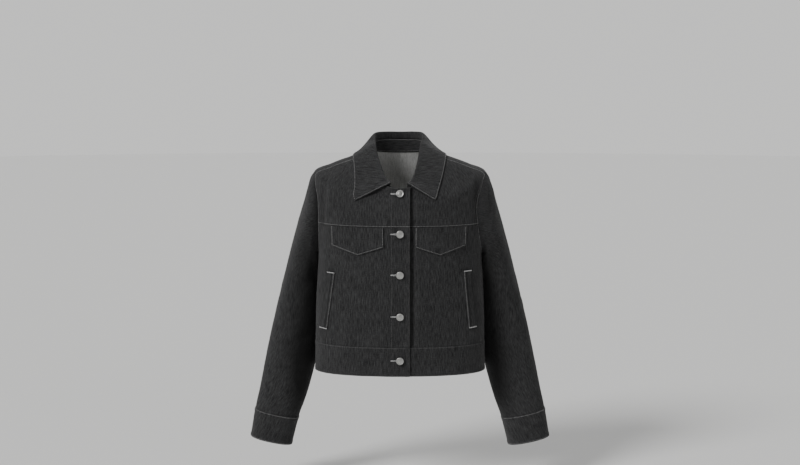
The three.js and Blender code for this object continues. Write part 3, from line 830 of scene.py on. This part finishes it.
def armhole(angle, edge):
    """The armhole's edge at an angle round the sleeve, and the direction from it into the hole."""
    def spot(a):
        up = np.cos(a)
        t = ARM_MIDDLE + ARM_HALF * up
        reach = np.where(np.sin(a) < 0, armhole_reach(up, edge), armhole_reach(up, "back"))
        return seam_angle(t) + reach, t
    here = on_body(*spot(angle))
    run = on_body(*spot(angle + STEP)) - on_body(*spot(angle - STEP))
    to_hole = unit(np.cross(facing(plain_body, *spot(angle)), run))
    middle = (plain_sleeve(0, 0) + plain_sleeve(math.pi, 0)) / 2
    inwards = np.sign(np.sum(to_hole * (middle - here), axis=-1, keepdims=True))
    return here, to_hole * inwards


def body_half_width(y, z):
    """Half the body's width at a depth and a height, below the underarm."""
    t = level_at_z(0.0, z)
    off = y - between(RINGS, "y", t)
    sine = np.abs(off / ring_side(off, t, "front", "back"))
    square = between(RINGS, "square", t)
    return between(RINGS, "half", t) * np.maximum(1 - sine**square, 0) ** (1 / square)


def sleeve_surface(angle, v, edge):
    points = plain_sleeve(angle, v)
    here, to_hole = armhole(angle[:, :1], edge)
    fade = np.maximum(0, 1 - v / CAP_ROWS) ** 2
    points = points + (here - plain_sleeve(angle[:, :1], 0)) * fade[..., None]
    points = points - to_hole * ARM_TUCK * np.maximum(0, 1 - 4 * v)[..., None]
    side = body_half_width(points[..., 1], points[..., 2])
    down = RINGS["z_side"][UNDERARM] - points[..., 2]
    beside = np.maximum(points[..., 0], side + BODY_CLEAR)
    touching = smoothstep(-np.cos(angle), 0.4, 0.9) * smoothstep(down, 0, 8) * (1 - smoothstep(down, 40, 90))
    beside = beside - np.clip(beside - side - BODY_TOUCH, 0, MOST_INWARDS) * touching
    points[..., 0] = np.where(down > 0, beside, points[..., 0])
    return points


def sleeve_rows(start, end):
    """Rows down the sleeve, even along its outer line."""
    fine = np.linspace(start, end, 400)
    length = arc_lengths(plain_sleeve(0.0, fine), 0)
    return np.interp(stations(length[-1]) * length[-1], length, fine)


print("wrist, mm:", plain_sleeve(0.0, CUFF_TOP).round(1))

# %% Sleeves and cuffs
SLEEVE_AROUND = 104
CUFF_AROUND = 84
SLEEVE_CREASES = {
    "left": [
        (203, -118, 6, 70, 6, 4.2, -1),
        (222, -150, 14, 120, 13, 1.4, -1),
        (230, -330, 46, 120, 14, 3.0, -1),
        (256, -400, 40, 140, 16, 3.2, -1),
        (240, -430, 66, 80, 11, 1.6, -1),
        (262, -500, 22, 120, 14, 1.5, -1),
        (276, -590, 60, 80, 10, 1.6, -1),
        (216, -240, 20, 110, 12, 1.8, -1),
        (240, -300, -50, 90, 13, 2.2, 1),
        (246, -360, -58, 90, 12, 2.4, 1),
        (252, -410, -52, 80, 12, 1.8, 1),
        (250, -220, -20, 150, 16, 1.6, 1),
        (280, -540, -30, 110, 12, 1.6, 1),
    ],
    "right": [
        (-226, -150, -12, 120, 13, 1.5, -1),
        (-232, -330, -40, 120, 15, 3.0, -1),
        (-262, -410, -36, 150, 17, 3.4, -1),
        (-242, -446, -64, 80, 11, 1.8, -1),
        (-270, -512, -20, 120, 15, 1.6, -1),
        (-284, -600, -58, 80, 10, 1.5, -1),
        (-214, -230, -18, 110, 12, 1.8, -1),
        (-238, -290, 54, 90, 13, 2.2, 1),
        (-250, -352, 60, 90, 12, 2.3, 1),
        (-250, -420, 50, 90, 12, 1.8, 1),
        (-248, -210, 22, 150, 16, 1.6, 1),
        (-284, -548, 28, 110, 12, 1.6, 1),
    ],
}


def underarm_painted_shade(points, across, along):
    """Painted shade on the side of the sleeve that lies next to the body, from the armhole down past the
    elbow.
    """
    share = across / across[-1:]
    right = points[..., 0] < 0
    inner = bell(np.abs(share - 0.5), 0.17, 4)
    front = bell(share - 0.67, np.where(right, 0.13, 0.09))
    down = smoothstep(along, 20, 110) * (1 - smoothstep(along, 330, 480))
    return (0.5 * inner + np.where(right, 0.95, 0.6) * front) * down


def cap_puff(points, across, along):
    """The sleeve goes in under the armhole's edge, and past it its fullness rounds out."""
    return 1.3 * (1 - np.exp(-along / 5)) * np.exp(-along / 60) - 0.5 * np.exp(-along / 1.5)


def sleeve_points(side, rows, around):
    angle, v = np.meshgrid(np.linspace(0, 2 * math.pi, around + 1), rows, indexing="ij")
    points = sleeve_surface(angle, v, "front_" + side)
    if side == "right":
        points[..., 0] *= -1
    points[-1] = points[0]
    return points


for side, seed in (("right", 7), ("left", 8)):
    flip = side == "left"
    points = sleeve_points(side, sleeve_rows(0, CUFF_TOP + TUCK / CUFF_HEIGHT), SLEEVE_AROUND)
    cloth_piece(f"sleeve_{side}_cloth", points, thick=CLOTH, seed=seed, flip=flip, closed=True,
                creases=SLEEVE_CREASES[side], middle_y=15.0, extra=cap_puff, shade_painter=underarm_painted_shade,
                origin=(0, 0), edges={"foot": UNDER, "head": UNDER})
    rows = sleeve_rows(CUFF_TOP + SEAM_GAP / CUFF_HEIGHT, CUFF_TOP + 1)
    points = sleeve_points(side, rows, CUFF_AROUND)
    points = points + grid_normals(points, flip, True) * CUFF_LIFT
    cloth_piece(f"cuff_{side}_cloth", points, thick=BAND_CLOTH, seed=seed + 2, flip=flip, closed=True,
                inside=denim_face, origin=(0, 0), edges={"foot": TURNED, "head": TURNED})

# %% [markdown]
# The collar is a stand sewn round the neck and a leaf that rolls over its top and falls to two
# points. A table gives the guide lines from centre back to each front end: how high the stand is
# and how far it leans in, where the roll lies, and how far down the body the leaf's edge falls.

# %% The collar's surface
COLLAR = columns("high lean_r lean_l roll_up roll_in_r roll_in_l fall_r turn_r fall_l turn_l", [
    (30, 4, 4, 46, 4, 4, 17, 0, 17, 0),
    (29, 3.5, 4, 45, 3, 4, 19, 32, 19, 32),
    (23, 3, 6, 39, 1, 8, 25, 62, 24, 62),
    (11, 9, 15, 20, 12, 20, 32, 90, 31, 91),
    (5, 9.5, 16, 12, 14, 23, 38, 118, 35, 120),
    (8, 8, 11, 14, 12.5, 18, 50, 136, 42, 141),
    (3.4, 0, 0.5, 9, 1.5, 2, 70, 150.5, 54, 157),
])
COLLAR_END_RIGHT, COLLAR_END_LEFT = 162, 166.4
COLLAR_GAP, ROLL_RADIUS, LEAF_LIFT, ROLL_AT, FREE_FROM = 0.7, 3.2, 0.9, 0.24, 0.29
SEARCH_STEPS, MOST_TURN = 25, 0.1


def collar_value(column, u):
    at = np.abs(u) * 6
    if column in COLLAR:
        return between(COLLAR, column, at)
    return np.where(u < 0, between(COLLAR, column + "_r", at), between(COLLAR, column + "_l", at))


def raised(points, height):
    return points + np.stack([0 * height, 0 * height, height], -1)


def neck_lines(u):
    angle = np.radians(90 - u * np.where(u < 0, COLLAR_END_RIGHT, COLLAR_END_LEFT))
    out = np.stack([np.cos(angle), np.sin(angle), 0 * angle], -1)
    return angle, out, plain_body(angle, NECK), unit(run_v(plain_body, angle, NECK - STEP))


def stand_point(u, f):
    u, f = np.broadcast_arrays(np.asarray(u, float), np.asarray(f, float))
    angle, out, neck, hole = neck_lines(u)
    foot = neck + hole * COLLAR_GAP - facing(plain_body, angle, NECK - STEP) * CLOTH
    head = raised(neck - out * (collar_value("lean", u) + COLLAR_GAP)[..., None], collar_value("high", u))
    return foot + (head - foot) * f[..., None]


def leaf_edge(u):
    turned = np.radians(90 - np.sign(u) * collar_value("turn", u))
    return on_body(turned, level_below(turned, NECK, collar_value("fall", u)), LEAF_LIFT)


def arch(first, pull, last, f):
    """A curve from first to last, drawn towards pull."""
    f = f[..., None]
    return first * (1 - f) ** 2 + pull * 2 * f * (1 - f) + last * f**2


def leaf_point(u, f):
    u, f = np.broadcast_arrays(np.asarray(u, float), np.asarray(f, float))
    _, out, neck, _ = neck_lines(u)
    foot = stand_point(u, 1) + unit(stand_point(u, 1) - stand_point(u, 0)) * COLLAR_GAP
    crest = raised(neck - out * collar_value("roll_in", u)[..., None], collar_value("roll_up", u))
    rising = arch(foot, crest - out * ROLL_RADIUS, crest, np.clip(f / ROLL_AT, 0, 1))
    fallen = np.clip((f - ROLL_AT) / (1 - ROLL_AT), 0, 1)
    falling = arch(crest, crest + out * 2 * ROLL_RADIUS, leaf_edge(u), fallen)
    return np.where((f <= ROLL_AT)[..., None], rising, falling)


def clear_leaf(u, f):
    """The leaf, lifted wherever it would sink into the body that it lies on."""
    points = leaf_point(u, f)
    angle = np.arctan2(points[..., 1] - RINGS["y"][NECK], points[..., 0])
    t = np.full(angle.shape, float(INNER_SHOULDER))
    for _ in range(SEARCH_STEPS):
        off = points - plain_body(angle, t)
        round_, up = run_u(plain_body, angle, t), run_v(plain_body, angle, t)
        turn = np.sum(off * round_, -1) / np.sum(round_**2, -1)
        angle = angle + np.clip(turn, -MOST_TURN, MOST_TURN)
        t = np.clip(t + np.sum(off * up, -1) / np.sum(up**2, -1), YOKE, NECK)
    out = facing(plain_body, angle, t)
    height = np.sum((points - on_body(angle, t)) * out, -1)
    over = (f > FREE_FROM) | (t < NECK - 0.02)
    wanted = LEAF_LIFT + np.where(u < 0, lap_lift(points[..., 0]), 0)
    return points + out * (np.maximum(wanted - height, 0) * over)[..., None]


print("top of the roll at centre back, mm:", leaf_point(0.0, ROLL_AT).round(1))

# %% Collar stand and leaf
LEAF_CREASES = [(-86, -66, 30, 60, 10, 0.9, -1), (92, -60, -26, 60, 9, 0.8, -1)]


def seen_side(surface, u, f, thick):
    """The face that shows: the guide surface moved out by the cloth's thickness."""
    inside_u, inside_f = np.clip(u, 2 * STEP - 1, 1 - 2 * STEP), np.clip(f, 2 * STEP, 1 - 2 * STEP)
    return surface(u, f) + facing(surface, inside_u, inside_f) * thick


u, f = np.meshgrid(2 * stations(390) - 1, np.linspace(0, 1, 10), indexing="ij")
cloth_piece("collar_stand_cloth", seen_side(stand_point, u, f, CLOTH), thick=CLOTH, seed=11,
            inside=denim_face, crosswise=True, edges={"foot": UNDER})
hidden_rows = np.linspace(0, FREE_FROM, 12)[:-1]
leaf_rows = np.concatenate([hidden_rows, FREE_FROM + (1 - FREE_FROM) * stations(75)[3:]])
u, f = np.meshgrid(2 * stations(520) - 1, leaf_rows, indexing="ij")
cloth_piece("collar_leaf_cloth", seen_side(clear_leaf, u, f, CLOTH), thick=CLOTH, seed=12,
            inside=denim_face, creases=LEAF_CREASES,
            edges={"start": TURNED, "end": TURNED, "head": TURNED})

# %% [markdown]
# Flaps and welts lie on the front panels. A flap is a doubled piece with a pointed end, sewn in
# the yoke seam. A welt is the narrow leaning strip that closes a slanting pocket; a bar tack
# holds each of its ends. Their points are the panel's own, moved out.

# %% Pocket flaps and welts
FLAP_SIDE, FLAP_POINT, FLAP_THICK = 43, 61, 1.7
FLAP = {"right": dict(inner=37, width=117), "left": dict(inner=34, width=114)}
WELT_WIDTH, WELT_HEIGHT, WELT_THICK = 17, 127, 1.6
WELT_MOUTH, WELT_ROW = 6, 1.4
WELT = {"right": dict(top=155, foot=173, drop=101), "left": dict(top=151, foot=164, drop=97)}


def flap_points(side):
    across, down = np.meshgrid(stations(115, 3.0), stations(55, 3.0), indexing="ij")
    sign = -1 if side == "right" else 1
    x = sign * (FLAP[side]["inner"] + FLAP[side]["width"] * across)
    angle = angle_at_x(x, YOKE)
    deep = FLAP_SIDE + (FLAP_POINT - FLAP_SIDE) * (1 - np.abs(2 * across - 1))
    t = level_below(angle, YOKE, SEAM_GAP + deep * down)
    under = lap_lift(x) if side == "right" else 0
    return on_body(angle, t, under + REST_GAP + FLAP_THICK + 0 * t)


def welt_points(side):
    across, down = np.meshgrid(np.linspace(-0.5, 0.5, 23), stations(WELT_HEIGHT, 3.0), indexing="ij")
    sign = -1 if side == "right" else 1
    place = WELT[side]
    x = sign * (place["top"] + (place["foot"] - place["top"]) * down + WELT_WIDTH * across)
    t = level_below(angle_at_x(x, WAIST), YOKE, place["drop"] + WELT_HEIGHT * down)
    return on_body(angle_at_x(x, t), t, REST_GAP + WELT_THICK)


def welt_mouth(points, across, along):
    """The pocket's mouth: a narrow groove, WELT_MOUTH from the strip's inner edge."""
    return -1.1 * bell(across - WELT_MOUTH, 1.1)


def welt_painted_shade(points, across, along):
    """Painted shade in the mouth and along the outer edge."""
    outer = across[-1:] - across
    return 0.9 * bell(across - WELT_MOUTH, 1.2) + 0.9 * bell(outer, 1.6)


for side, seed in (("right", 13), ("left", 14)):
    flip = side == "left"
    cloth_piece(f"pocket_flap_{side}_cloth", flap_points(side), thick=FLAP_THICK, seed=seed,
                flip=flip, inside=denim_face, edges={"start": TURNED, "end": TURNED, "head": TURNED})
    cloth_piece(f"pocket_welt_{side}_cloth", welt_points(side), thick=WELT_THICK, seed=seed + 2,
                flip=flip, inside=denim_face, extra=welt_mouth, shade_painter=welt_painted_shade,
                edges={"start": ("flat", (WELT_ROW,))})

# %% [markdown]
# Stitches. One stitch is a tiny round-ended grain from `create_uvsphere`, with few faces. A row
# follows a line at a given distance inside a piece's edge, and every stitch on it is a copy,
# turned along the line and laid on the cloth. All the stitches on a piece are one mesh.

# %% Helpers for rows of stitches


def grain_shape():
    bm = bmesh.new()
    bmesh.ops.create_uvsphere(bm, u_segments=6, v_segments=4, radius=1)
    bmesh.ops.rotate(bm, verts=bm.verts, matrix=Matrix.Rotation(math.pi / 2, 3, "Y"))
    bm.verts.index_update()
    verts = np.array([v.co for v in bm.verts])
    faces = [[v.index for v in f.verts] for f in bm.faces]
    bm.free()
    return verts, faces


GRAIN = grain_shape()


def spot_at(distance, run, data):
    """Where a line of points is at a distance along it."""
    return np.stack([np.interp(distance, run, data[:, k]) for k in range(3)], -1)


def line_inside(piece, edge, inset, trim=(0, 0)):
    """Points and normals along a line that lies inset from an edge, shortened by trim at its ends."""
    points, normals = piece.points, piece.normals
    if edge in ("start", "end"):
        points, normals = points.swapaxes(0, 1), normals.swapaxes(0, 1)
    if edge in ("end", "head"):
        points, normals = points[:, ::-1], normals[:, ::-1]
    distance = arc_lengths(points, 1)
    line = np.array([spot_at(inset, d, p) for d, p in zip(distance, points)])
    up = np.array([spot_at(inset, d, n) for d, n in zip(distance, normals)])
    run = arc_lengths(line, 0)
    keep = (run >= trim[0]) & (run <= run[-1] - trim[1])
    return line[keep], unit(up[keep])


def sew(piece, line, up, pitch=3.3, length=2.8, wide=0.85, high=0.7, across=False, lift=0.1,
        tone="mid"):
    """Lays stitches along a line, or across it for a bar tack or buttonhole."""
    run = arc_lengths(line, 0)
    count = max(1, int(run[-1] / pitch))
    at = (np.arange(count) + 0.5) * run[-1] / count
    centre, normal = spot_at(at, run, line), unit(spot_at(at, run, up))
    tangent = unit(spot_at(at + 0.4, run, line) - spot_at(at - 0.4, run, line))
    side = unit(np.cross(normal, tangent))
    if across:
        tangent, side = side, tangent
    tones = np.full(count, list(THREADS).index(tone))
    axes = tangent * length / 2, side * wide / 2, normal * high / 2
    piece.stitches.append((centre + normal * lift, *axes, tones))


def stitch_mesh(name, stitches):
    """Joins all the stitches of a piece into one mesh."""
    shape, faces = GRAIN
    centre, a, b, c, tones = (np.concatenate([s[k] for s in stitches]) for k in range(5))
    turned = sum(shape[None, :, k:k + 1] * axis[:, None] for k, axis in enumerate((a, b, c)))
    verts = centre[:, None] + turned
    all_faces = [[i + n * len(shape) for i in face] for n in range(len(centre)) for face in faces]
    mesh = bpy.data.meshes.new(name)
    mesh.from_pydata((verts.reshape(-1, 3) * MM).tolist(), [], all_faces)
    mesh.shade_smooth()
    for material in THREADS.values():
        mesh.materials.append(material)
    mesh.polygons.foreach_set("material_index", np.repeat(tones, len(faces)))
    obj = placed(name, mesh)
    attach(obj, "root")
    return obj


print("one stitch has", len(GRAIN[1]), "faces")

# %% Topstitching
EDGE, STAND_ROW = EDGE_ROW[0], 1.5
TACK = dict(pitch=0.7, length=2.6, wide=0.8, high=1.0, across=True, lift=0.3, tone="pale")

for side in ("right", "left"):
    arm, lap = ("start", "end") if side == "right" else ("end", "start")
    for part in ("panel", "yoke"):
        piece = MADE[f"front_{part}_{side}_cloth"]
        for inset, tone in zip(SEAM_ROWS, ("mid", "dark")):
            sew(piece, *line_inside(piece, arm, inset), tone=tone)
        sew(piece, *line_inside(piece, lap, EDGE), tone="dark")
        if side == "right":
            sew(piece, *line_inside(piece, lap, PLACKET_ROW), tone="dark")
    sew(piece, *line_inside(piece, "foot", EDGE))
    sew(piece, *line_inside(piece, "head", 1.2), tone="dark")
    cuff = MADE[f"cuff_{side}_cloth"]
    for edge in ("foot", "head"):
        sew(cuff, *line_inside(cuff, edge, EDGE))
    flap = MADE[f"pocket_flap_{side}_cloth"]
    for edge, first in (("start", 1), ("end", 1), ("head", EDGE)):
        sew(flap, *line_inside(flap, edge, EDGE, (first, EDGE)))
    welt = MADE[f"pocket_welt_{side}_cloth"]
    sew(welt, *line_inside(welt, "start", WELT_ROW))
    for edge in ("foot", "head"):
        sew(welt, *line_inside(welt, edge, 1.2), **TACK)

back = MADE["back_panel_cloth"]
for edge in ("start", "end"):
    for inset in SEAM_ROWS:
        sew(back, *line_inside(back, edge, inset), tone="dark")
band = MADE["waistband_cloth"]
for edge in ("start", "end", "foot", "head"):
    sew(band, *line_inside(band, edge, EDGE, (EDGE, EDGE)), tone="dark")
leaf = MADE["collar_leaf_cloth"]
for edge in ("start", "end", "head"):
    sew(leaf, *line_inside(leaf, edge, EDGE, (EDGE, EDGE)))
stand = MADE["collar_stand_cloth"]
sew(stand, *line_inside(stand, "head", STAND_ROW))
sew(stand, *line_inside(stand, "foot", 2.0))
print("rows of stitches:", sum(len(p.stitches) for p in MADE.values()))

# %% [markdown]
# Each button sits at the eyelet end of a keyhole buttonhole, whose slit runs away from the front
# edge. Pale thread is worked closely all round the slit, and a small bar closes its far end.

# %% Keyhole buttonholes
BUTTON_Z = (-101, -188, -279, -373, -473)
HOLE_START, HOLE_END = 4.5, -19.5
EYELET, SLIT_END = 2.6, 0.6
THREAD_LIFT = 0.95
WORKED = dict(pitch=0.62, length=1.7, wide=0.75, high=0.8, across=True, tone="pale")
BAR = dict(pitch=0.6, length=1.8, wide=0.7, high=0.9, across=True, tone="pale")


def keyhole_line():
    """The middle of the worked edge: round the eyelet, then down both sides of the slit."""
    turn = np.linspace(math.radians(-140), math.radians(140), 24)
    eyelet = np.stack([HOLE_START - EYELET + EYELET * np.cos(turn), EYELET * np.sin(turn)], -1)
    slit = np.linspace(eyelet[-1], (HOLE_END, SLIT_END), 16)[1:]
    return np.concatenate([(slit * (1, -1))[::-1], eyelet, slit])


def on_front(offset, z, lift):
    """Points of the top front round a place on the centre line, offsets in x and z."""
    t = level_at_z(np.full(len(offset), -math.pi / 2), z + offset[:, 1])
    angle = angle_at_x(offset[:, 0], t)
    return on_body(angle, t, lift), facing(plain_body, angle, t)


def front_lift(z):
    on_band = z < RINGS["z_front"][WAIST_SEAM]
    return (BAND_LIFT + BAND_CLOTH + REST_GAP if on_band else LAP_LIFT), on_band


for z in BUTTON_Z:
    lift, on_band = front_lift(z)
    part = "yoke" if z > RINGS["z_front"][YOKE] else "panel"
    piece = band if on_band else MADE[f"front_{part}_right_cloth"]
    sew(piece, *on_front(keyhole_line(), z, lift + THREAD_LIFT), **WORKED)
    bar = np.array([(HOLE_END - 0.6, -1.3), (HOLE_END - 0.6, 1.3)])
    sew(piece, *on_front(bar, z, lift + THREAD_LIFT), **BAR)
print("buttonholes:", len(BUTTON_Z))

for name, piece in MADE.items():
    if piece.stitches:
        stitch_mesh(name.replace("_cloth", "_stitching"), piece.stitches)
    print(name, "area", round(piece.area, 4), "m2,", len(piece.stitches), "rows of stitches")

# %% [markdown]
# The buttons are shank buttons of dull silver metal. Half of the section is drawn from the middle
# out, and a full spin turns it: a domed face in a shallow ring, a rolled rim and the shank
# underneath. They stand on the top front's own direction, so each leans as the cloth does there.

# %% Metal of the buttons
DULL, BRIGHT = (0.36, 0.36, 0.35, 1), (0.58, 0.58, 0.56, 1)


def metal_material():
    material, tree, shader = new_material("dull_silver")
    place = node(tree, "ShaderNodeTexCoord").outputs["Object"]
    grime = node(tree, "ShaderNodeTexNoise", {"Vector": place, "Scale": 900.0, "Detail": 4.0}).outputs[0]
    colour = blend_colours(tree, ranged(tree, grime, 0.35, 0.65), DULL, BRIGHT)
    bump = node(tree, "ShaderNodeBump", {"Strength": 0.25, "Distance": 0.0001, "Height": grime})
    tree.links.new(colour, shader.inputs["Base Color"])
    tree.links.new(ranged(tree, grime, 0.3, 0.7, 0.34, 0.52), shader.inputs["Roughness"])
    tree.links.new(bump.outputs[0], shader.inputs["Normal"])
    shader.inputs["Metallic"].default_value = 0.9
    return material


dull_silver = metal_material()

# %% Shank buttons
RIM, STAND, CAP = 8.5, 2.2, 3.2
BUTTON_PROFILE = [
    (0, CAP + 0.15), (2.2, CAP + 0.08), (4.2, CAP - 0.15), (5.4, CAP - 0.5), (6.0, CAP - 0.55),
    (6.6, CAP - 0.1), (7.4, CAP), (8.1, CAP - 0.35), (RIM, CAP - 1.1), (8.2, 0.7), (7.1, 0.1),
    (3.0, 0), (3.0, -STAND),
]
SPIN_STEPS = 40


def button(number, z):
    lift, _ = front_lift(z)
    spot, out = on_front(np.zeros((1, 2)), z, lift + REST_GAP)
    bm = bmesh.new()
    line = [bm.verts.new((r, 0, STAND + h)) for r, h in BUTTON_PROFILE]
    edges = [bm.edges.new(pair) for pair in zip(line, line[1:])]
    bmesh.ops.spin(bm, geom=line + edges, axis=(0, 0, 1), angle=2 * math.pi, steps=SPIN_STEPS, use_merge=True)
    bmesh.ops.remove_doubles(bm, verts=bm.verts, dist=1e-4)
    bmesh.ops.holes_fill(bm, edges=bm.edges)
    bmesh.ops.recalc_face_normals(bm, faces=bm.faces)
    turn = Vector(out[0]).to_track_quat("Z", "Y").to_matrix()
    bmesh.ops.rotate(bm, verts=bm.verts, matrix=turn)
    bmesh.ops.translate(bm, verts=bm.verts, vec=Vector(spot[0]))
    bmesh.ops.scale(bm, verts=bm.verts, vec=(MM, MM, MM))
    for face in bm.faces:
        face.smooth = True
    obj = finished(bm, f"shank_button_{number}")
    obj.data.materials.append(dull_silver)
    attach(obj, "root")
    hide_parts(f"button_{number}")


for number, z in enumerate(BUTTON_Z, 1):
    button(number, z)
print("buttons:", len(BUTTON_Z))

# %% [markdown]
# A plain pale floor lies below the cuffs. It isn't part of the jacket.

# %% Floor
FLOOR_Z, FLOOR_RADIUS = -0.78, 14


def pale_floor():
    bm = bmesh.new()
    bmesh.ops.create_circle(bm, cap_ends=True, segments=96, radius=FLOOR_RADIUS)
    bmesh.ops.translate(bm, verts=bm.verts, vec=(0, 0, FLOOR_Z))
    obj = finished(bm, "floor")
    material, tree, shader = new_material("pale_floor")
    shader.inputs["Base Color"].default_value = (0.72, 0.72, 0.71, 1)
    shader.inputs["Roughness"].default_value = 0.8
    obj.data.materials.append(material)


pale_floor()
print("floor at", FLOOR_Z, "m")
